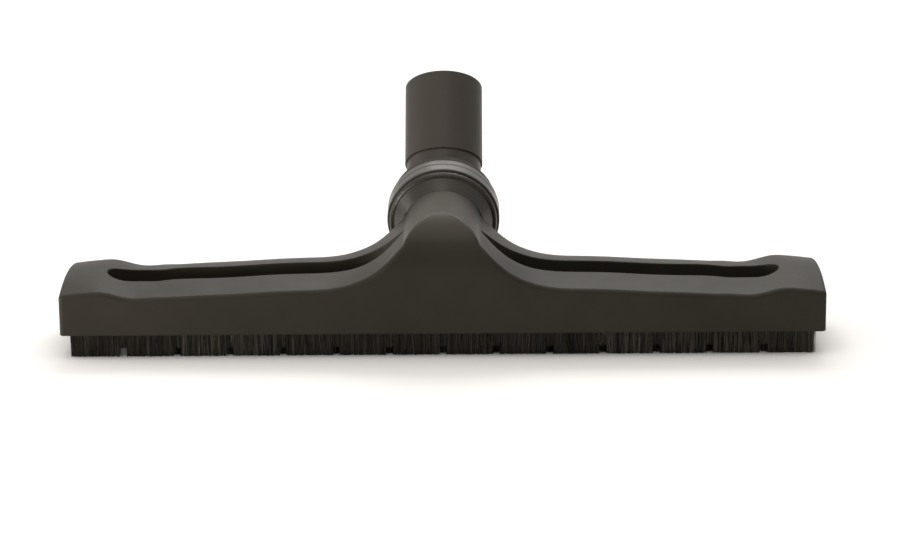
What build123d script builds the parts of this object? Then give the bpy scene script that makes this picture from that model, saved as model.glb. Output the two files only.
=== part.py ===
from build123d import *
import os
from math import cos, hypot, radians, sin

# Floor tool head of a wet and dry vacuum cleaner: a moulded hood on two bristle strips, with a swivel elbow.
# Millimetres. While the pieces are built, X runs along the head, Y counts back from the head's front face and
# Z goes up from a level a little above the bristle tips. At the end all of them move so that the tips are at
# zero height and the origin is under the middle of the tool.

# Driving dimensions of the moulded hood
HEAD_LENGTH = 400.0
HEAD_DEPTH = 68.0
RIM_Z = 11.1
WALL = 3.0
MID_Y = HEAD_DEPTH / 2
EDGE_RADIUS = 2.4
END_RADIUS = 2.0
RIM_RADIUS = 0.8

# Search limits for the edges that get rounded
NEAR = 1.0
LONG_EDGE = 60.0

# Top of the hood from its end to the hub: distance from the middle, height of the front and rear edges,
# and how far the crown rises between those edges
TOP_STATIONS = [
    (200, 32.4, 4.2),
    (196, 32.8, 4.2),
    (192, 33.3, 4.2),
    (188, 33.7, 4.1),
    (184, 34.1, 3.8),
    (179, 34.4, 3.0),
    (175, 34.0, 2.4),
    (171, 33.0, 2.5),
    (167, 31.8, 3.2),
    (163, 30.9, 4.0),
    (157, 30.7, 4.2),
    (146, 31.2, 4.2),
    (126, 32.1, 4.2),
    (95, 33.6, 4.1),
    (70, 34.5, 4.0),
    (58, 35.3, 3.7),
    (48, 37.5, 3.0),
    (40, 40.7, 2.4),
    (32, 46.0, 1.5),
    (25, 52.6, 0.8),
    (17, 60.0, 0.5),
    (8, 63.0, 0.4),
    (0, 63.5, 0.4),
]

# Hub, neck and front panel: the panel is upright to PANEL_Z and then rolls back on PANEL_RADIUS to the neck
NECK_RADIUS = 21.5
NECK_BLEND = 4.0
NECK_Z = 50.0
PANEL_Z = 43.0
PANEL_RADIUS = 30.0

# Long recess in the top of each arm
RECESS_HALF_WIDTH = 11.0
RECESS_END_X = 178.0
RECESS_NARROW_X = 48.0
RECESS_TIP_X = 19.5
RECESS_TIP_RADIUS = 1.5
RECESS_LIP_RADIUS = 0.5
RECESS_FLOOR_Z = 24.0
RECESS_WALL = 2.5

# Swivel: axis from the end of the neck, up to the back. Stations along it are named _AT and count from there.
SWIVEL_Y = 70.5
SWIVEL_Z = 49.2
SWIVEL_TILT = 12.0
ELBOW_BEND = 38.0
SPIGOT_RADIUS = 20.0
DUCT_RADIUS = 17.0
SPIGOT_END_AT = 16.0
CONE_RADIUS = 22.3
CONE_END_RADIUS = 26.9
CONE_END_AT = 7.2
BEAD_RADIUS = 29.2
BEAD_END_AT = 10.4
BEAD_MID_RISE = 0.7
BEAD_MID_AT = 0.2
THREAD_RADIUS = 26.0
THREAD_END_AT = 17.0
NUT_RADIUS = 30.5
NUT_START_AT = 11.0
NUT_END_AT = 22.6
NUT_EDGE = 0.4
NUT_GROOVE = 0.4
NUT_GROOVE_AT = 17.4
WASHER = 1.0
FLANGE = 2.2
FLANGE_RADIUS = 25.5
RUN_GAP = 0.05
FREE_GAP = 0.3

# Elbow tube and wand cuff, stations counted from the bend's corner
TUBE_RADIUS = 20.5
TUBE_BORE_RADIUS = 16.6
BEND_RADIUS = 24.0
CORNER_AT = 34.6
CUFF_START_AT = 22.2
CUFF_LENGTH = 47.6
CUFF_RADIUS = 21.4
CUFF_EDGE = 0.6
SOCKET_RADIUS = 19.0
SOCKET_DEPTH = 38.0
CUFF_SPIGOT_RADIUS = 18.5

# Shoulder ring on the elbow behind the ring nut, stations along the swivel axis
SHOULDER_RADIUS = 28.7
SHOULDER_START_AT = 23.0
SHOULDER_GRIP_END_AT = 26.0
SHOULDER_END_AT = 31.0
SHOULDER_MOUTH_RADIUS = 24.4
SHOULDER_EDGE = 0.6

# Brush carrier in the underside
FIT_GAP = 0.4
FRAME_Z = 11.7
FRAME_TOP_Z = 21.6
MOUTH_HALF_LENGTH = 181.5
MOUTH_WIDTH = 30.0
BRIDGE_WIDTH = 6.0
BRIDGE_TOP_Z = 16.4
BRIDGE_XS = (-124, -46, 46, 124)
SCREW_X = 189.0
SCREW_SPREAD = 28.0
SCREW_RADIUS = 1.7
SCREW_HEAD_RADIUS = 4.0
SCREW_HEAD = 2.3
SCREW_TIP_Z = 30.0
SCREW_CROSS = 4.6
SCREW_CROSS_WIDTH = 1.0
SCREW_CROSS_DEPTH = 1.2
BOSS_RADIUS = 4.5

# Strip brushes: a folded channel round a wire and the roots of the bristles
STRIP_LENGTH = 392.0
STRIP_Y = 9.5
CHANNEL_WIDTH = 7.0
CHANNEL_HEIGHT = 6.0
CHANNEL_Z = 13.6
CHANNEL_SHEET = 0.8
GROOVE_GAP = 0.15
GROOVE_LIP = 0.7
WIRE_RADIUS = 1.0
ROOT_Z = 14.0
CLUMPS = 14
NOTCH_WIDTH = 4.0
NOTCH_HEIGHT = 4.7
TIP_Z = -2.5
STRANDS_IN_ROW = 8
STRAND = 1.4
ROW_SPREAD = 3.0
FAN = 0.035


# A block or cylinder that stands on its place
UPWARD = (Align.CENTER, Align.CENTER, Align.MIN)


def turned(points):
    """Solid turned about Z from an outline of radius and height."""
    outline = Polyline(*[(radius, 0, height) for radius, height in points], close=True)
    return revolve(make_face(outline), Axis.Z)


def tube(outer, inner, start, end):
    """Round tube about Z between two heights."""
    return turned([(inner, start), (outer, start), (outer, end), (inner, end)])


def mirrored(solid):
    """The same solid on the other side of the middle."""
    return mirror(solid, about=Plane.YZ)


# Hood of the head


def hood_section(x, edge_z, crown, inset, floor_z):
    """Upright slice of the hood across the head, with a crowned top."""
    front = inset
    rear = HEAD_DEPTH - inset
    top = edge_z - inset
    sides = Polyline((x, front, top), (x, front, floor_z), (x, rear, floor_z), (x, rear, top))
    crowned_top = ThreePointArc((x, rear, top), (x, MID_Y, top + crown), (x, front, top))
    return make_face(sides.edges() + crowned_top.edges())


def panel_block(inset):
    """Space behind the front panel, which rolls back above PANEL_Z."""
    front = inset
    radius = PANEL_RADIUS - inset
    top = PANEL_Z + radius
    roll_mid = radius * (1 - cos(radians(45)))
    rear = 2 * HEAD_DEPTH
    low = Polyline((rear, top), (rear, -HEAD_DEPTH), (front, -HEAD_DEPTH), (front, PANEL_Z))
    mid_point = (front + roll_mid, PANEL_Z + radius * sin(radians(45)))
    roll = ThreePointArc((front, PANEL_Z), mid_point, (front + radius, top))
    crest = Line((front + radius, top), (rear, top))
    outline = make_face(low.edges() + roll.edges() + crest.edges())
    return extrude(Plane.YZ * outline, HEAD_LENGTH, both=True)


def arm(inset, floor_z):
    """Right half of the hood, lofted from its end to the middle."""
    end_x = HEAD_LENGTH / 2 - inset
    sections = []
    for x, edge_z, crown in TOP_STATIONS:
        sections.append(hood_section(min(x, end_x), edge_z, crown, inset, floor_z))
    return loft(sections)


def neck(inset):
    """Level round neck, from the front of the hub to behind the swivel's start."""
    length = SWIVEL_Y + NECK_RADIUS
    return Pos(0, 0, NECK_Z) * Rot(-90, 0, 0) * Cylinder(NECK_RADIUS - inset, length, align=UPWARD)


def top_edges(solid, face_y):
    """Long edges of the top along one upright face of the hood."""
    found = []
    for edge in solid.edges():
        box = edge.bounding_box()
        on_face = abs(box.min.Y - face_y) < NEAR and abs(box.max.Y - face_y) < NEAR
        if on_face and box.min.Z > RIM_Z + NEAR and box.size.X > LONG_EDGE:
            found.append(edge)
    return found


def end_edges(solid):
    """Edges of both ends of the head, without those on the floor side."""
    found = []
    for edge in solid.edges():
        box = edge.bounding_box()
        at_end = box.size.X < NEAR and abs(abs(box.center().X) - HEAD_LENGTH / 2) < NEAR
        if at_end and box.max.Z > RIM_Z + NEAR:
            found.append(edge)
    return found


def neck_seams(form):
    """Seams where the neck leaves the arms, from the front to the back."""
    found = []
    for edge in form.edges():
        box = edge.bounding_box()
        beside_neck = abs(box.center().X) < NECK_RADIUS and box.min.Z > NECK_Z
        if beside_neck and box.size.Y > MID_Y and box.size.X > RUN_GAP:
            found.append(edge)
    return found


def rim_edges(form):
    """Lowest outer edges of the hood."""
    return [edge for edge in form.edges() if edge.bounding_box().max.Z < RIM_Z + NEAR]


def recess_rims(form):
    """Upper edges of the recesses in the arms."""
    found = []
    for edge in form.edges():
        box = edge.bounding_box()
        off_middle = abs(box.center().Y - MID_Y) + box.size.Y / 2
        upright = box.size.X + box.size.Y < RUN_GAP
        if off_middle < RECESS_HALF_WIDTH + RUN_GAP and box.min.Z > RECESS_FLOOR_Z + NEAR and not upright:
            found.append(edge)
    return found


def hood_outside():
    """Outer form of the hood with its two recesses, all edges rounded and the neck blended into the arms."""
    half = arm(0, RIM_Z)
    half = fillet(top_edges(half, HEAD_DEPTH), EDGE_RADIUS)
    form = half + mirrored(half) + neck(0)
    form = fillet(neck_seams(form), NECK_BLEND)
    form = (form & panel_block(0)) - behind_swivel(0)
    form = fillet(top_edges(form, 0), EDGE_RADIUS)
    form = fillet(end_edges(form), END_RADIUS)
    form = fillet(rim_edges(form), RIM_RADIUS)
    right_recess = recess(0)
    form -= [right_recess, mirrored(right_recess)]
    return fillet(recess_rims(form), RECESS_LIP_RADIUS)


def hood_hollow():
    """Space inside the hood, open below."""
    half = arm(WALL, -RIM_Z)
    hollow = (half + mirrored(half) + neck(WALL)) & panel_block(WALL)
    return hollow - behind_swivel(-WALL)


def recess_outline(grow):
    """Long recess seen from above: round at the head's end, narrowing to a point beside the neck."""
    half = RECESS_HALF_WIDTH + grow
    end_centre = RECESS_END_X - RECESS_HALF_WIDTH
    tip = (RECESS_TIP_X - grow, 0)
    lines = [
        Line((RECESS_NARROW_X, -half), (end_centre, -half)),
        ThreePointArc((end_centre, -half), (end_centre + half, 0), (end_centre, half)),
        Line((end_centre, half), (RECESS_NARROW_X, half)),
        TangentArc((RECESS_NARROW_X, half), tip, tangent=(-1, 0)),
        TangentArc((RECESS_NARROW_X, -half), tip, tangent=(-1, 0)),
    ]
    outline = make_face(lines)
    outline = fillet(outline.vertices().sort_by(Axis.X)[0], RECESS_TIP_RADIUS)
    return Pos(0, MID_Y) * outline


def recess(grow):
    """Space of one recess, or with grow the block of its walls and floor."""
    height = NECK_Z
    return extrude(Pos(0, 0, RECESS_FLOOR_Z - grow) * recess_outline(grow), height)


def swivel_frame(along=0.0):
    """Place on the swivel axis, with Z along the axis."""
    tilt = radians(SWIVEL_TILT)
    origin = (0, SWIVEL_Y + along * cos(tilt), SWIVEL_Z + along * sin(tilt))
    return Plane(origin=origin, x_dir=(1, 0, 0), z_dir=(0, cos(tilt), sin(tilt)))


def behind_swivel(along):
    """Space behind a square cut across the swivel axis."""
    return swivel_frame(along) * Box(HEAD_DEPTH, HEAD_DEPTH, HEAD_DEPTH, align=UPWARD)


def screw_places():
    """Places of the carrier's screws, two at each end of the head."""
    return [
        (side_x, MID_Y + side_y)
        for side_x in (-SCREW_X, SCREW_X)
        for side_y in (-SCREW_SPREAD / 2, SCREW_SPREAD / 2)
    ]


def make_housing():
    swivel = swivel_frame()
    recess_walls = recess(RECESS_WALL)
    recess_walls += mirrored(recess_walls)
    boss = Cylinder(BOSS_RADIUS, HEAD_DEPTH, align=UPWARD)
    pilot = Cylinder(SCREW_RADIUS + RUN_GAP, SCREW_TIP_Z - FRAME_TOP_Z + FIT_GAP, align=UPWARD)
    bosses = [Pos(x, y, FRAME_TOP_Z) * boss for x, y in screw_places()]
    pilots = [Pos(x, y, FRAME_TOP_Z) * pilot for x, y in screw_places()]
    housing = hood_outside() - (hood_hollow() - recess_walls - bosses) - pilots
    spigot = swivel * tube(SPIGOT_RADIUS, DUCT_RADIUS, -2 * WALL, SPIGOT_END_AT)
    duct = swivel * Cylinder(DUCT_RADIUS, 4 * WALL)
    return (housing + spigot) - duct


# Swivel


def make_collar():
    """Flared collar with a round bead, and the threaded barrel behind it."""
    bore = SPIGOT_RADIUS + RUN_GAP
    bead_rise = BEAD_RADIUS - CONE_END_RADIUS
    bead_length = BEAD_END_AT - CONE_END_AT
    bead_mid = (CONE_END_RADIUS + BEAD_MID_RISE * bead_rise, 0, CONE_END_AT + BEAD_MID_AT * bead_length)
    lines = [
        Polyline(
            (bore, 0, THREAD_END_AT),
            (bore, 0, 0),
            (CONE_RADIUS, 0, 0),
            (CONE_END_RADIUS, 0, CONE_END_AT),
        ),
        ThreePointArc((CONE_END_RADIUS, 0, CONE_END_AT), bead_mid, (BEAD_RADIUS, 0, BEAD_END_AT)),
        Polyline(
            (BEAD_RADIUS, 0, BEAD_END_AT),
            (THREAD_RADIUS, 0, BEAD_END_AT),
            (THREAD_RADIUS, 0, THREAD_END_AT),
            (bore, 0, THREAD_END_AT),
        ),
    ]
    return revolve(make_face(lines), Axis.Z)


def make_nut():
    """Ring nut with a fine groove round it, its lip holding the elbow's flange."""
    lip_at = washer_start("rear") + WASHER
    bore = TUBE_RADIUS + FREE_GAP
    thread = THREAD_RADIUS + RUN_GAP
    return turned(
        [
            (thread, NUT_START_AT),
            (NUT_RADIUS - NUT_EDGE, NUT_START_AT),
            (NUT_RADIUS, NUT_START_AT + NUT_EDGE),
            (NUT_RADIUS, NUT_GROOVE_AT - NUT_GROOVE),
            (NUT_RADIUS - NUT_GROOVE, NUT_GROOVE_AT),
            (NUT_RADIUS, NUT_GROOVE_AT + NUT_GROOVE),
            (NUT_RADIUS, NUT_END_AT - NUT_EDGE),
            (NUT_RADIUS - NUT_EDGE, NUT_END_AT),
            (bore, NUT_END_AT),
            (bore, lip_at),
            (thread, lip_at),
        ]
    )


def washer_start(which):
    """Station of a slip washer: one lies on the collar's end, the other behind the elbow's flange."""
    if which == "front":
        return THREAD_END_AT
    return THREAD_END_AT + WASHER + RUN_GAP + FLANGE + RUN_GAP


def make_washer(which):
    start = washer_start(which)
    inner = TUBE_RADIUS + FREE_GAP if which == "rear" else SPIGOT_RADIUS + RUN_GAP
    return tube(FLANGE_RADIUS, inner, start, start + WASHER)


def make_o_ring():
    """Rubber ring between the spigot's end and the elbow's flange, of an eight-sided section."""
    section_radius = (THREAD_END_AT + WASHER - SPIGOT_END_AT) / 2
    ring_radius = (SPIGOT_RADIUS + DUCT_RADIUS) / 2
    middle_at = SPIGOT_END_AT + section_radius
    corners = [radians(angle) for angle in range(0, 360, 45)]
    return turned(
        [(ring_radius + section_radius * cos(a), middle_at + section_radius * sin(a)) for a in corners]
    )


def elbow_path():
    """Centre line of the elbow's tube in the swivel's own frame, bending up from its axis."""
    bend = radians(ELBOW_BEND)
    start_at = THREAD_END_AT + WASHER + RUN_GAP
    end = (0, -CUFF_START_AT * sin(bend), CORNER_AT + CUFF_START_AT * cos(bend))
    return FilletPolyline((0, 0, start_at), (0, 0, CORNER_AT), end, radius=BEND_RADIUS)


def cuff_frame():
    """Place of the cuff's lower end, with Z along the elbow's upper leg."""
    rise = radians(SWIVEL_TILT + ELBOW_BEND)
    corner = swivel_frame(CORNER_AT).origin
    origin = corner + Vector(0, cos(rise), sin(rise)) * CUFF_START_AT
    return Plane(origin=origin, x_dir=(1, 0, 0), z_dir=(0, cos(rise), sin(rise)))


def make_elbow():
    path = elbow_path()
    start = Plane(origin=path @ 0, z_dir=path % 0)
    outer = sweep(start * Circle(TUBE_RADIUS), path=path)
    bore = sweep(start * Circle(TUBE_BORE_RADIUS), path=path)
    flange_at = THREAD_END_AT + WASHER + RUN_GAP
    flange = tube(FLANGE_RADIUS, TUBE_BORE_RADIUS, flange_at, flange_at + FLANGE)
    elbow = swivel_frame() * (outer + flange - bore)
    spigot_length = CUFF_LENGTH - SOCKET_DEPTH
    spigot = cuff_frame() * tube(CUFF_SPIGOT_RADIUS, TUBE_BORE_RADIUS, 0, spigot_length)
    return elbow + spigot


def make_shoulder():
    """Ring bonded on the elbow, its mouth wide enough for the start of the bend."""
    bore = TUBE_RADIUS + RUN_GAP
    return turned(
        [
            (bore, SHOULDER_START_AT),
            (SHOULDER_RADIUS, SHOULDER_START_AT),
            (SHOULDER_RADIUS, SHOULDER_END_AT - SHOULDER_EDGE),
            (SHOULDER_RADIUS - SHOULDER_EDGE, SHOULDER_END_AT),
            (SHOULDER_MOUTH_RADIUS, SHOULDER_END_AT),
            (bore, SHOULDER_GRIP_END_AT),
        ]
    )


def make_cuff():
    step = CUFF_LENGTH - SOCKET_DEPTH
    sleeve = turned(
        [
            (CUFF_SPIGOT_RADIUS + RUN_GAP, 0),
            (CUFF_RADIUS, 0),
            (CUFF_RADIUS, CUFF_LENGTH - CUFF_EDGE / 2),
            (CUFF_RADIUS - CUFF_EDGE / 2, CUFF_LENGTH),
            (SOCKET_RADIUS + CUFF_EDGE, CUFF_LENGTH),
            (SOCKET_RADIUS, CUFF_LENGTH - CUFF_EDGE),
            (SOCKET_RADIUS, step),
            (CUFF_SPIGOT_RADIUS + RUN_GAP, step),
        ]
    )
    return cuff_frame() * sleeve


# Underside


def groove(strip_y):
    """Undercut groove that a strip brush slides into from the end."""
    length = HEAD_LENGTH
    width = CHANNEL_WIDTH + 2 * GROOVE_GAP
    height = CHANNEL_HEIGHT + 2 * GROOVE_GAP
    wide = Pos(0, strip_y, CHANNEL_Z - GROOVE_GAP) * Box(length, width, height, align=UPWARD)
    mouth = Pos(0, strip_y, 0) * Box(length, width - 2 * GROOVE_LIP, CHANNEL_Z, align=UPWARD)
    return wide + mouth


def make_frame():
    gap = WALL + FIT_GAP
    length = HEAD_LENGTH - 2 * gap
    width = HEAD_DEPTH - 2 * gap
    plate = Pos(0, MID_Y, FRAME_Z) * Box(length, width, FRAME_TOP_Z - FRAME_Z, align=UPWARD)
    mouth = Pos(0, MID_Y, FRAME_Z) * Box(2 * MOUTH_HALF_LENGTH, MOUTH_WIDTH, 2 * HEAD_DEPTH)
    bridge = Box(BRIDGE_WIDTH, MOUTH_WIDTH, BRIDGE_TOP_Z - FRAME_Z, align=UPWARD)
    bridges = [Pos(x, MID_Y, FRAME_Z) * bridge for x in BRIDGE_XS]
    holes = []
    for x, y in screw_places():
        holes.append(Pos(x, y, FRAME_Z) * Cylinder(SCREW_RADIUS + FIT_GAP, HEAD_DEPTH))
        holes.append(Pos(x, y, FRAME_Z) * Cylinder(SCREW_HEAD_RADIUS + FIT_GAP, 2 * (SCREW_HEAD + FIT_GAP)))
    return (plate - mouth + bridges) - [groove(STRIP_Y), groove(HEAD_DEPTH - STRIP_Y), *holes]


def make_screws():
    """Cross-head screws, their heads below."""
    seat = FRAME_Z + SCREW_HEAD + FIT_GAP
    bar = Box(SCREW_CROSS, SCREW_CROSS_WIDTH, 2 * SCREW_CROSS_DEPTH)
    cross = Pos(0, 0, seat - SCREW_HEAD) * (bar + Rot(0, 0, 90) * bar)
    screws = []
    for x, y in screw_places():
        screw = turned(
            [
                (0, seat - SCREW_HEAD),
                (SCREW_HEAD_RADIUS, seat - SCREW_HEAD),
                (SCREW_HEAD_RADIUS, seat),
                (SCREW_RADIUS, seat),
                (SCREW_RADIUS, SCREW_TIP_Z - SCREW_RADIUS),
                (0, SCREW_TIP_Z),
            ]
        )
        screws.append(Pos(x, y) * (screw - cross))
    return Compound(screws)


def make_channel(strip_y):
    inner_width = CHANNEL_WIDTH - 2 * CHANNEL_SHEET
    outside = Box(STRIP_LENGTH, CHANNEL_WIDTH, CHANNEL_HEIGHT, align=UPWARD)
    inside = Box(STRIP_LENGTH, inner_width, CHANNEL_HEIGHT - CHANNEL_SHEET, align=UPWARD)
    return Pos(0, strip_y, CHANNEL_Z) * (outside - inside)


def wire_z():
    """Height of the wire in the middle of the bristle roots."""
    return (ROOT_Z + CHANNEL_Z + CHANNEL_HEIGHT - CHANNEL_SHEET) / 2


def make_wire(strip_y):
    return Pos(0, strip_y, wire_z()) * Rot(0, 90, 0) * Cylinder(WIRE_RADIUS, STRIP_LENGTH)


def strand(x, y, tip_z, lean):
    """One strand of square section, leaning along the strip."""
    length = (ROOT_Z - tip_z) * hypot(1, lean)
    return extrude(Pos(x, y, ROOT_Z) * Rectangle(STRAND, STRAND), length, dir=(lean, 0, -1))


def make_bristles(strip_y):
    """Scalloped strip: clumps of long strands in two staggered rows, with short ones in the notches."""
    width = CHANNEL_WIDTH - 2 * CHANNEL_SHEET - 2 * GROOVE_GAP
    top_z = CHANNEL_Z + CHANNEL_HEIGHT - CHANNEL_SHEET - GROOVE_GAP
    roots = Pos(0, strip_y, ROOT_Z) * Box(STRIP_LENGTH, width, top_z - ROOT_Z, align=UPWARD)
    roots -= Pos(0, strip_y, wire_z()) * Rot(0, 90, 0) * Cylinder(WIRE_RADIUS + RUN_GAP, 2 * STRIP_LENGTH)
    pitch = STRIP_LENGTH / CLUMPS
    step = (pitch - NOTCH_WIDTH - STRAND) / (STRANDS_IN_ROW - 1)
    strands = []
    for clump in range(CLUMPS):
        clump_x = (clump + 0.5 - CLUMPS / 2) * pitch
        for row, count in ((-0.5, STRANDS_IN_ROW), (0.5, STRANDS_IN_ROW - 1)):
            for i in range(count):
                offset = (i - (count - 1) / 2) * step
                lean = FAN * offset / pitch
                strands.append(strand(clump_x + offset, strip_y + row * ROW_SPREAD, TIP_Z, lean))
        if clump + 1 < CLUMPS:
            notch_x = clump_x + pitch / 2
            notch_z = TIP_Z + NOTCH_HEIGHT
            strands.append(strand(notch_x, strip_y - ROW_SPREAD / 2, notch_z, 0))
            strands.append(strand(notch_x, strip_y + ROW_SPREAD / 2, notch_z, 0))
    return roots.fuse(*strands)


rear_strip_y = HEAD_DEPTH - STRIP_Y
swivel_place = swivel_frame()
PIECES = {
    "nozzle_housing": make_housing(),
    "swivel_collar": swivel_place * make_collar(),
    "ring_nut": swivel_place * make_nut(),
    "front_slip_washer": swivel_place * make_washer("front"),
    "rear_slip_washer": swivel_place * make_washer("rear"),
    "swivel_o_ring": swivel_place * make_o_ring(),
    "swivel_elbow": make_elbow(),
    "elbow_shoulder": swivel_place * make_shoulder(),
    "wand_cuff": make_cuff(),
    "brush_frame": make_frame(),
    "frame_screws": make_screws(),
    "front_strip_channel": make_channel(STRIP_Y),
    "rear_strip_channel": make_channel(rear_strip_y),
    "front_core_wire": make_wire(STRIP_Y),
    "rear_core_wire": make_wire(rear_strip_y),
    "front_bristles": make_bristles(STRIP_Y),
    "rear_bristles": make_bristles(rear_strip_y),
}

# The origin goes to the bottom centre of the whole tool, and every piece is written
whole = Compound([solid for piece in PIECES.values() for solid in piece.solids()]).bounding_box()
to_origin = Pos(0, -whole.center().Y, -TIP_Z)
os.makedirs("parts", exist_ok=True)
for node, piece in PIECES.items():
    export_step(to_origin * piece, f"parts/{node}.step")
print("size", whole.size, "front face at y", -whole.center().Y)
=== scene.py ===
import math
import random

import bpy
from mathutils import Matrix, Vector


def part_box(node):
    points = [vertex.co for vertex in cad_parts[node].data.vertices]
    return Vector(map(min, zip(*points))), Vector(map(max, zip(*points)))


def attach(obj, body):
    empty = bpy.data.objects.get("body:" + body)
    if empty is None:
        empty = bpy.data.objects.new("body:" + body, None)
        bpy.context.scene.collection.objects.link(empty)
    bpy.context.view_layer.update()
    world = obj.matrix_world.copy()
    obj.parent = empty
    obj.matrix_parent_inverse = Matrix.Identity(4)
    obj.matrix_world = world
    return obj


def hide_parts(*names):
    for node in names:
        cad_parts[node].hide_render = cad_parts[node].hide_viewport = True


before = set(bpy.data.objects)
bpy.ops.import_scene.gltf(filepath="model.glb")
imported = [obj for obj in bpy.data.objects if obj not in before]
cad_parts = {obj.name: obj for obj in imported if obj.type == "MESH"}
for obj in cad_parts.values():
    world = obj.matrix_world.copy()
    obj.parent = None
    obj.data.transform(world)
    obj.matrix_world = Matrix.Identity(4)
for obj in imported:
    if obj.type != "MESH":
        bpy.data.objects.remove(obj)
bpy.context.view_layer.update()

MM = 0.001


# Nodes that several materials share

# Cosine of the turn that counts as a full edge
EDGE_TURN = 0.7
# The middle part of a noise, where most of its values lie
NOISE_MIDDLE = (0.3, 0.7)


def new_material(name):
    """Material with an output and a Principled shader, along with its node tree and that shader."""
    material = bpy.data.materials.new(name)
    material.use_nodes = True
    tree = material.node_tree
    tree.nodes.clear()
    output = tree.nodes.new("ShaderNodeOutputMaterial")
    shader = tree.nodes.new("ShaderNodeBsdfPrincipled")
    tree.links.new(shader.outputs["BSDF"], output.inputs["Surface"])
    return material, tree, shader


def noise(tree, size_mm, detail):
    """Noise in the frame's own metres, with features of about the given size."""
    place = tree.nodes.new("ShaderNodeTexCoord")
    texture = tree.nodes.new("ShaderNodeTexNoise")
    texture.inputs["Scale"].default_value = 1.0 / (size_mm * MM)
    texture.inputs["Detail"].default_value = detail
    tree.links.new(place.outputs["Object"], texture.inputs["Vector"])
    return texture.outputs["Fac"]


def ramp(tree, source, dark, pale, limits):
    """Colour that runs from a dark tone to a pale one while the source goes between two limits."""
    node = tree.nodes.new("ShaderNodeValToRGB")
    for element, tone, position in zip(node.color_ramp.elements, (dark, pale), limits):
        element.position = position
        element.color = (*tone, 1.0)
    tree.links.new(source, node.inputs["Fac"])
    return node.outputs["Color"]


def map_range(tree, source, limits, results=(0.0, 1.0)):
    """Number that runs between two results while the source goes between two limits."""
    node = tree.nodes.new("ShaderNodeMapRange")
    node.inputs["From Min"].default_value = limits[0]
    node.inputs["From Max"].default_value = limits[1]
    node.inputs["To Min"].default_value = results[0]
    node.inputs["To Max"].default_value = results[1]
    tree.links.new(source, node.inputs["Value"])
    return node.outputs["Result"]


def mixed(tree, share, colour, other):
    """Colour that turns into another, fixed one as the share rises."""
    node = tree.nodes.new("ShaderNodeMix")
    node.data_type = "RGBA"
    node.inputs["B"].default_value = (*other, 1.0)
    tree.links.new(share, node.inputs["Factor"])
    tree.links.new(colour, node.inputs["A"])
    return node.outputs["Result"]


def edge_mask(tree, rounded_normal):
    """Share of an edge in a surface: how far the rounded normal turns from the true one."""
    geometry = tree.nodes.new("ShaderNodeNewGeometry")
    turn = tree.nodes.new("ShaderNodeVectorMath")
    turn.operation = "DOT_PRODUCT"
    tree.links.new(rounded_normal, turn.inputs[0])
    tree.links.new(geometry.outputs["Normal"], turn.inputs[1])
    return map_range(tree, turn.outputs["Value"], (1.0, EDGE_TURN))


def faded_upward(tree, colour, heights_mm, faded):
    """Colour that fades to another one between two heights over the floor."""
    place = tree.nodes.new("ShaderNodeTexCoord")
    split = tree.nodes.new("ShaderNodeSeparateXYZ")
    tree.links.new(place.outputs["Object"], split.inputs["Vector"])
    share = map_range(tree, split.outputs["Z"], [height * MM for height in heights_mm])
    return mixed(tree, share, colour, faded)


# Materials

# Plastic: a mottled tone, smears in the gloss, and edges painted paler by a factor, partly as wear from
# rubbing and partly as a painted edge highlight
PLASTIC_TINT = (1.0, 0.96, 0.88, 1.0)
MOTTLE_MM = 38.0
MOTTLE_LIMITS = (0.34, 0.66)
SMEAR_MM = 9.0
SMEAR_ROUGHNESS = 0.02
BEVEL_SAMPLES = 4
EDGE_WEAR_AND_HIGHLIGHT_PALER = 1.7

# Drawn lines of the steel, per metre along the head and across it
STEEL_LINES = (40.0, 2500.0, 2500.0)
STEEL_ROUGHNESS = (0.28, 0.42)

RUBBER_DARK = (0.010, 0.010, 0.010)
RUBBER_PALE = (0.020, 0.020, 0.019)
RUBBER_GRAIN_MM = 2.0

NYLON_TINT = (1.0, 0.90, 0.76, 1.0)
NYLON_DARK = (0.004, 0.0037, 0.003)
NYLON_PALE = (0.085, 0.077, 0.062)
NYLON_PALER_FROM = 0.64


def moulded_plastic(name, dark, pale, roughness, specular, grain_mm, grain_depth_mm, edge_mm, painted_highlight=None):
    """Moulded plastic with fine grain, faint mottling, edges painted paler (wear from rubbing and a painted
    edge highlight) and, if given, a top painted paler as a painted highlight.
    """
    material, tree, shader = new_material(name)
    shader.inputs["Specular IOR Level"].default_value = specular
    shader.inputs["Specular Tint"].default_value = PLASTIC_TINT
    colour = ramp(tree, noise(tree, MOTTLE_MM, detail=3.0), dark, pale, MOTTLE_LIMITS)
    # Painted highlight: the colour turns paler towards the top
    if painted_highlight:
        colour = faded_upward(tree, colour, *painted_highlight)
    rounded = tree.nodes.new("ShaderNodeBevel")
    rounded.samples = BEVEL_SAMPLES
    rounded.inputs["Radius"].default_value = edge_mm * MM
    # Edges painted paler: partly wear from rubbing, partly a painted edge highlight
    worn_and_highlit_edge = [EDGE_WEAR_AND_HIGHLIGHT_PALER * channel for channel in pale]
    colour = mixed(tree, edge_mask(tree, rounded.outputs["Normal"]), colour, worn_and_highlit_edge)
    tree.links.new(colour, shader.inputs["Base Color"])
    extremes = (roughness - SMEAR_ROUGHNESS, roughness + SMEAR_ROUGHNESS)
    smear = map_range(tree, noise(tree, SMEAR_MM, detail=4.0), NOISE_MIDDLE, extremes)
    tree.links.new(smear, shader.inputs["Roughness"])
    bump = tree.nodes.new("ShaderNodeBump")
    bump.inputs["Strength"].default_value = 1.0
    bump.inputs["Distance"].default_value = grain_depth_mm * MM
    tree.links.new(noise(tree, grain_mm, detail=2.0), bump.inputs["Height"])
    tree.links.new(rounded.outputs["Normal"], bump.inputs["Normal"])
    tree.links.new(bump.outputs["Normal"], shader.inputs["Normal"])
    return material


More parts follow.
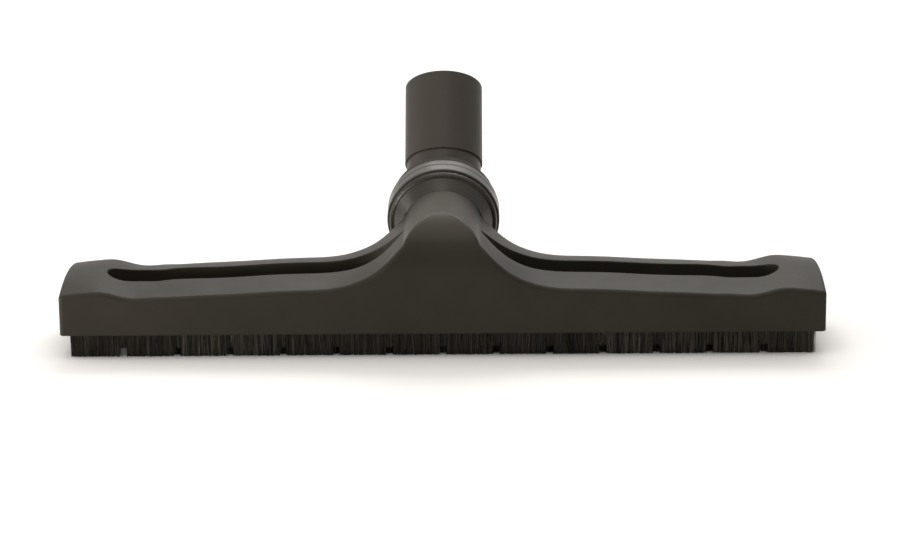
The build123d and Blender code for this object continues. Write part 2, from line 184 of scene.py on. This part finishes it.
def plated_steel(name, dark, pale):
    """Zinc plated steel with fine drawn lines along the head."""
    material, tree, shader = new_material(name)
    shader.inputs["Metallic"].default_value = 1.0
    place = tree.nodes.new("ShaderNodeTexCoord")
    stretch = tree.nodes.new("ShaderNodeMapping")
    stretch.inputs["Scale"].default_value = STEEL_LINES
    lines = tree.nodes.new("ShaderNodeTexNoise")
    lines.inputs["Scale"].default_value = 1.0
    lines.inputs["Detail"].default_value = 3.0
    tree.links.new(place.outputs["Object"], stretch.inputs["Vector"])
    tree.links.new(stretch.outputs["Vector"], lines.inputs["Vector"])
    tone = ramp(tree, lines.outputs["Fac"], dark, pale, NOISE_MIDDLE)
    tree.links.new(tone, shader.inputs["Base Color"])
    rough = map_range(tree, lines.outputs["Fac"], NOISE_MIDDLE, STEEL_ROUGHNESS)
    tree.links.new(rough, shader.inputs["Roughness"])
    return material


def rubber(name):
    """Dull black rubber."""
    material, tree, shader = new_material(name)
    shader.inputs["Roughness"].default_value = 0.7
    tone = ramp(tree, noise(tree, RUBBER_GRAIN_MM, detail=4.0), RUBBER_DARK, RUBBER_PALE, NOISE_MIDDLE)
    tree.links.new(tone, shader.inputs["Base Color"])
    return material


def bristle_nylon(name):
    """Black nylon strands, about one in three of them paler than the rest."""
    material, tree, shader = new_material(name)
    shader.inputs["Roughness"].default_value = 0.42
    shader.inputs["Specular IOR Level"].default_value = 0.35
    shader.inputs["Specular Tint"].default_value = NYLON_TINT
    strand = tree.nodes.new("ShaderNodeNewGeometry")
    chance = strand.outputs["Random Per Island"]
    tone = ramp(tree, chance, NYLON_DARK, NYLON_PALE, (NYLON_PALER_FROM, 1.0))
    tree.links.new(tone, shader.inputs["Base Color"])
    return material


# The neck's top is painted paler as a painted highlight: the heights in millimetres where the fade starts and
# ends, and its tone
NECK_PAINTED_HIGHLIGHT = ((62.0, 74.5), (0.058, 0.0505, 0.041))

hood = moulded_plastic(
    "hood", dark=(0.020, 0.0172, 0.0125), pale=(0.026, 0.0224, 0.0163),
    roughness=0.45, specular=0.18, grain_mm=0.55, grain_depth_mm=0.014, edge_mm=0.7, painted_highlight=NECK_PAINTED_HIGHLIGHT,
)
cuff = moulded_plastic(
    "cuff", dark=(0.050, 0.0425, 0.036), pale=(0.055, 0.047, 0.040),
    roughness=0.44, specular=0.12, grain_mm=0.35, grain_depth_mm=0.004, edge_mm=0.5,
)
elbow = moulded_plastic(
    "elbow", dark=(0.040, 0.034, 0.029), pale=(0.046, 0.039, 0.033),
    roughness=0.42, specular=0.25, grain_mm=0.5, grain_depth_mm=0.012, edge_mm=0.5,
)
shoulder = moulded_plastic(
    "shoulder", dark=(0.036, 0.032, 0.028), pale=(0.044, 0.039, 0.034),
    roughness=0.46, specular=0.06, grain_mm=0.5, grain_depth_mm=0.02, edge_mm=0.5,
)
collar = moulded_plastic(
    "collar", dark=(0.014, 0.012, 0.009), pale=(0.022, 0.0185, 0.0145),
    roughness=0.34, specular=0.42, grain_mm=1.3, grain_depth_mm=0.16, edge_mm=0.5,
)
nut = moulded_plastic(
    "nut", dark=(0.044, 0.040, 0.036), pale=(0.054, 0.049, 0.045),
    roughness=0.33, specular=0.55, grain_mm=0.6, grain_depth_mm=0.030, edge_mm=0.5,
)
carrier = moulded_plastic(
    "carrier", dark=(0.012, 0.011, 0.010), pale=(0.017, 0.016, 0.014),
    roughness=0.5, specular=0.35, grain_mm=0.5, grain_depth_mm=0.012, edge_mm=0.4,
)
slip = moulded_plastic(
    "slip", dark=(0.55, 0.54, 0.50), pale=(0.62, 0.61, 0.57),
    roughness=0.35, specular=0.5, grain_mm=0.8, grain_depth_mm=0.004, edge_mm=0.3,
)
steel = plated_steel("plated_steel", dark=(0.42, 0.42, 0.43), pale=(0.60, 0.60, 0.61))
seal = rubber("seal_rubber")
nylon = bristle_nylon("bristle_nylon")

NODE_MATERIALS = {
    "nozzle_housing": hood,
    "swivel_collar": collar,
    "ring_nut": nut,
    "front_slip_washer": slip,
    "rear_slip_washer": slip,
    "swivel_o_ring": seal,
    "brush_frame": carrier,
    "frame_screws": steel,
    "front_strip_channel": steel,
    "rear_strip_channel": steel,
    "front_core_wire": steel,
    "rear_core_wire": steel,
    "swivel_elbow": elbow,
    "elbow_shoulder": shoulder,
    "wand_cuff": cuff,
    "front_bristles": nylon,
    "rear_bristles": nylon,
}
for node_name, material in NODE_MATERIALS.items():
    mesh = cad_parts[node_name].data
    mesh.materials.clear()
    mesh.materials.append(material)


# Bristle strips, in millimetres

# Clumps along a strip, with notches between them. Notches count from the left, and one is open at the back
CLUMPS = 14
STRIP_LENGTH = 392.0
PITCH = STRIP_LENGTH / CLUMPS
NOTCH_WIDTH = 4.0
NOTCH_Z = 4.7
OPEN_NOTCH = 1

# Rows of strands, counted from the strip's outer side. The rows after the notched ones close the notches
ROWS = 7
NOTCHED_ROWS = 4
ROW_STEP = 0.66
ROW_STRAY = 0.15

# Strands of a row, the odd rows half a step further along
ROOT_Z = 16.9
STRAND_RADIUS = 0.24
STRAND_SIDES = 3
STRAND_STEP = 0.56
ROW_STARTS = (0.25, 0.75)
ROOT_STRAY = 0.2
THINNEST = 0.85
THICKEST = 1.15

# Lean, stray and cut of the tips: a clump fans out, and the strip's ends lean in
FAN = 0.6
END_LEAN = 1.3
END_LENGTH = 9.0
TIP_STRAY = 0.75
TIP_STRAY_ACROSS = 0.2
BOW = 0.3
RAGGED = 0.45
NOTCH_TIP_STRAY = 0.15
NOTCH_RAGGED = 0.1

# Packed inside of a strip
CORE_HALF_WIDTH = 1.5
CORE_BACK = 0.5


def strand_into(vertices, faces, root, tip, bow, radius):
    """Adds one strand, a thin prism in two bent lengths with a cut tip."""
    start = len(vertices)
    middle = [(a + b) / 2 + bend for a, b, bend in zip(root, tip, bow)]
    rings = (root, middle, tip)
    for place in rings:
        for side in range(STRAND_SIDES):
            angle = 2 * math.pi * side / STRAND_SIDES
            x = place[0] + radius * math.cos(angle)
            y = place[1] + radius * math.sin(angle)
            vertices.append((x * MM, y * MM, place[2] * MM))
    for ring in (0, STRAND_SIDES):
        for side in range(STRAND_SIDES):
            a = start + ring + side
            b = start + ring + (side + 1) % STRAND_SIDES
            faces.append((a, a + STRAND_SIDES, b + STRAND_SIDES, b))
    last = start + len(rings) * STRAND_SIDES - 1
    faces.append([last - side for side in range(STRAND_SIDES)])


def block_into(vertices, faces, low, high):
    """Adds a plain block between two corners."""
    start = len(vertices)
    for z in (low[2], high[2]):
        for x, y in ((low[0], low[1]), (high[0], low[1]), (high[0], high[1]), (low[0], high[1])):
            vertices.append((x * MM, y * MM, z * MM))
    sides = ((3, 2, 1, 0), (4, 5, 6, 7), (0, 1, 5, 4), (1, 2, 6, 5), (2, 3, 7, 6), (3, 0, 4, 7))
    for corners in sides:
        faces.append([start + corner for corner in corners])


def core_into(vertices, faces, middle_y):
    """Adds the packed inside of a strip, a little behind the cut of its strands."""
    reach = NOTCH_WIDTH / 2 + CORE_BACK
    low_y = middle_y - CORE_HALF_WIDTH
    high_y = middle_y + CORE_HALF_WIDTH
    for clump in range(CLUMPS):
        start_x = clump * PITCH - STRIP_LENGTH / 2
        left_x = start_x + (reach if clump else END_LEAN)
        right_x = start_x + PITCH - (reach if clump + 1 < CLUMPS else END_LEAN)
        block_into(vertices, faces, (left_x, low_y, CORE_BACK), (right_x, high_y, ROOT_Z))
        if clump:
            low = (start_x - reach, low_y, NOTCH_Z + CORE_BACK)
            block_into(vertices, faces, low, (start_x + reach, high_y, ROOT_Z))


def tip_of(x, row, rng):
    """Where the strand that is rooted at x ends: along the strip, and above the floor."""
    clump = min(CLUMPS - 1, math.floor((x + STRIP_LENGTH / 2) / PITCH))
    offset = x + STRIP_LENGTH / 2 - (clump + 0.5) * PITCH
    outer_end = (clump == 0 and offset < 0) or (clump == CLUMPS - 1 and offset > 0)
    to_border = PITCH / 2 - abs(offset)
    if to_border < NOTCH_WIDTH / 2 and not outer_end:
        notch = clump + 1 if offset > 0 else clump
        tip_x = x + rng.gauss(0, NOTCH_TIP_STRAY)
        if row >= NOTCHED_ROWS and notch != OPEN_NOTCH:
            return tip_x, RAGGED
        return tip_x, NOTCH_Z + rng.uniform(-NOTCH_RAGGED, NOTCH_RAGGED)
    tip_x = x + FAN * offset / PITCH + rng.gauss(0, TIP_STRAY)
    if outer_end:
        share = max(0.0, 1 - to_border / END_LENGTH)
        tip_x -= math.copysign(END_LEAN * share, x)
    else:
        limit = PITCH / 2 - NOTCH_WIDTH / 2
        middle_x = (clump + 0.5) * PITCH - STRIP_LENGTH / 2
        tip_x = max(middle_x - limit, min(middle_x + limit, tip_x))
    return tip_x, rng.uniform(0.0, RAGGED)


def strands_into(vertices, faces, middle_y, outward, rng):
    """Adds the rows of strands. The first row is on the side that faces outward, towards -1 or +1 in y."""
    count = int(STRIP_LENGTH / STRAND_STEP)
    for row in range(ROWS):
        row_y = middle_y + outward * ((ROWS - 1) / 2 - row) * ROW_STEP
        for i in range(count):
            x = (i + ROW_STARTS[row % 2]) * STRAND_STEP - STRIP_LENGTH / 2
            x += rng.uniform(-ROOT_STRAY, ROOT_STRAY)
            if abs(x) > STRIP_LENGTH / 2 - STRAND_RADIUS:
                continue
            tip_x, tip_z = tip_of(x, row, rng)
            y = row_y + rng.uniform(-ROW_STRAY, ROW_STRAY)
            tip_y = y + rng.gauss(0, TIP_STRAY_ACROSS)
            bow = (rng.gauss(0, BOW), rng.gauss(0, BOW), 0)
            radius = STRAND_RADIUS * rng.uniform(THINNEST, THICKEST)
            strand_into(vertices, faces, (x, y, ROOT_Z), (tip_x, tip_y, tip_z), bow, radius)


def bristle_strip(name, node, outward):
    """Dense scalloped strip in the place of a CAD strip."""
    low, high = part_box(node)
    middle_y = (low[1] + high[1]) / 2 / MM
    vertices = []
    faces = []
    core_into(vertices, faces, middle_y)
    strands_into(vertices, faces, middle_y, outward, random.Random(name))
    mesh = bpy.data.meshes.new(name)
    mesh.from_pydata(vertices, [], faces)
    mesh.materials.append(nylon)
    strip = bpy.data.objects.new(name, mesh)
    bpy.context.scene.collection.objects.link(strip)
    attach(strip, "head")
    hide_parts(node)


bristle_strip("front_strip_strands", "front_bristles", -1)
bristle_strip("rear_strip_strands", "rear_bristles", 1)


# Floor, light and camera, in metres where a name gives no other unit

FLOOR_HALF = 4.0
FLOOR_WHITE = (0.97, 0.945, 0.92, 1.0)
FLOOR_DULL = (0.50, 0.48, 0.46, 1.0)

# The sky's strength follows how near a direction is to SKY_AIM
SKY_COLOUR = (1.0, 0.98, 0.955, 1.0)
SKY_AIM = (0.05, 0.35, 0.93)
SKY_LIMITS = (-0.35, 0.8)
SKY_STRENGTHS = (0.15, 1.0)

# Camera fitted to the head's corners in the photograph. Its place counts from the head's front face
FRONT_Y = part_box("nozzle_housing")[0][1]
CAMERA_MM = (23.844, -1526.291, 474.319)
CAMERA_YAW = math.radians(0.731)
CAMERA_PITCH = math.radians(15.594)
CAMERA_ROLL = math.radians(-0.573)
FOCAL_PX = 3055.755
PHOTO_WIDTH_PX = 900.0
SENSOR_WIDTH_MM = 36.0


def sees_background(tree):
    """One for rays that see the white floor itself: from the camera, in a reflection or through glass."""
    path = tree.nodes.new("ShaderNodeLightPath")
    seen = path.outputs["Is Camera Ray"]
    for kind in ("Is Glossy Ray", "Is Transmission Ray"):
        either = tree.nodes.new("ShaderNodeMath")
        either.operation = "MAXIMUM"
        tree.links.new(seen, either.inputs[0])
        tree.links.new(path.outputs[kind], either.inputs[1])
        seen = either.outputs["Value"]
    return seen


def floor():
    """White floor to the camera and in reflections. Onto the part it throws less light, as a duller table."""
    half = FLOOR_HALF
    corners = [(-half, -half, 0), (half, -half, 0), (half, half, 0), (-half, half, 0)]
    mesh = bpy.data.meshes.new("floor")
    mesh.from_pydata(corners, [], [(0, 1, 2, 3)])
    material, tree, dull = new_material("floor")
    dull.inputs["Base Color"].default_value = FLOOR_DULL
    dull.inputs["Roughness"].default_value = 0.9
    dull.inputs["Specular IOR Level"].default_value = 0.1
    white = tree.nodes.new("ShaderNodeBsdfDiffuse")
    white.inputs["Color"].default_value = FLOOR_WHITE
    mix = tree.nodes.new("ShaderNodeMixShader")
    tree.links.new(sees_background(tree), mix.inputs["Fac"])
    tree.links.new(dull.outputs["BSDF"], mix.inputs[1])
    tree.links.new(white.outputs["BSDF"], mix.inputs[2])
    tree.links.new(mix.outputs["Shader"], tree.nodes["Material Output"].inputs["Surface"])
    mesh.materials.append(material)
    plane = bpy.data.objects.new("floor", mesh)
    bpy.context.scene.collection.objects.link(plane)


def studio_world():
    """Soft studio all round: bright above and behind, dimmer in front."""
    world = bpy.data.worlds.new("studio")
    world.use_nodes = True
    tree = world.node_tree
    tree.nodes.clear()
    output = tree.nodes.new("ShaderNodeOutputWorld")
    light = tree.nodes.new("ShaderNodeBackground")
    light.inputs["Color"].default_value = SKY_COLOUR
    place = tree.nodes.new("ShaderNodeTexCoord")
    nearness = tree.nodes.new("ShaderNodeVectorMath")
    nearness.operation = "DOT_PRODUCT"
    nearness.inputs[1].default_value = SKY_AIM
    tree.links.new(place.outputs["Generated"], nearness.inputs[0])
    strength = map_range(tree, nearness.outputs["Value"], SKY_LIMITS, SKY_STRENGTHS)
    tree.links.new(strength, light.inputs["Strength"])
    tree.links.new(light.outputs["Background"], output.inputs["Surface"])
    bpy.context.scene.world = world


def softbox(name, place, aim, width, height, power):
    """Rectangular area lamp that looks at a point."""
    lamp = bpy.data.lights.new(name, "AREA")
    lamp.shape = "RECTANGLE"
    lamp.size = width
    lamp.size_y = height
    lamp.energy = power
    holder = bpy.data.objects.new(name, lamp)
    direction = Vector(aim) - Vector(place)
    holder.location = place
    holder.rotation_euler = direction.to_track_quat("-Z", "Y").to_euler()
    bpy.context.scene.collection.objects.link(holder)


def photo_camera():
    """Camera at the photograph's viewing angle."""
    camera = bpy.data.cameras.new("camera")
    camera.sensor_width = SENSOR_WIDTH_MM
    camera.lens = FOCAL_PX / PHOTO_WIDTH_PX * camera.sensor_width
    camera.clip_end = 50.0
    holder = bpy.data.objects.new("camera", camera)
    x, y, z = CAMERA_MM
    place = Matrix.Translation((x * MM, y * MM + FRONT_Y, z * MM))
    heading = Matrix.Rotation(CAMERA_YAW, 4, "Z") @ Matrix.Rotation(math.pi / 2 - CAMERA_PITCH, 4, "X")
    holder.matrix_world = place @ heading @ Matrix.Rotation(CAMERA_ROLL, 4, "Z")
    bpy.context.scene.collection.objects.link(holder)
    bpy.context.scene.camera = holder


floor()
studio_world()
softbox("key", place=(0.10, 0.75, 1.02), aim=(0.0, 0.0, 0.06), width=0.9, height=0.6, power=6.0)
softbox("top_fill", place=(-0.10, -0.55, 1.25), aim=(0.0, 0.0, 0.06), width=0.6, height=0.4, power=2.0)
softbox("left_window", place=(-1.10, 0.12, 0.34), aim=(0.0, 0.0, 0.05), width=0.4, height=0.3, power=1.5)
softbox("low_fill", place=(-0.62, -0.42, 0.055), aim=(-0.1, 0.0, 0.03), width=0.4, height=0.08, power=3.0)
photo_camera()
bpy.context.scene.view_settings.view_transform = "Standard"
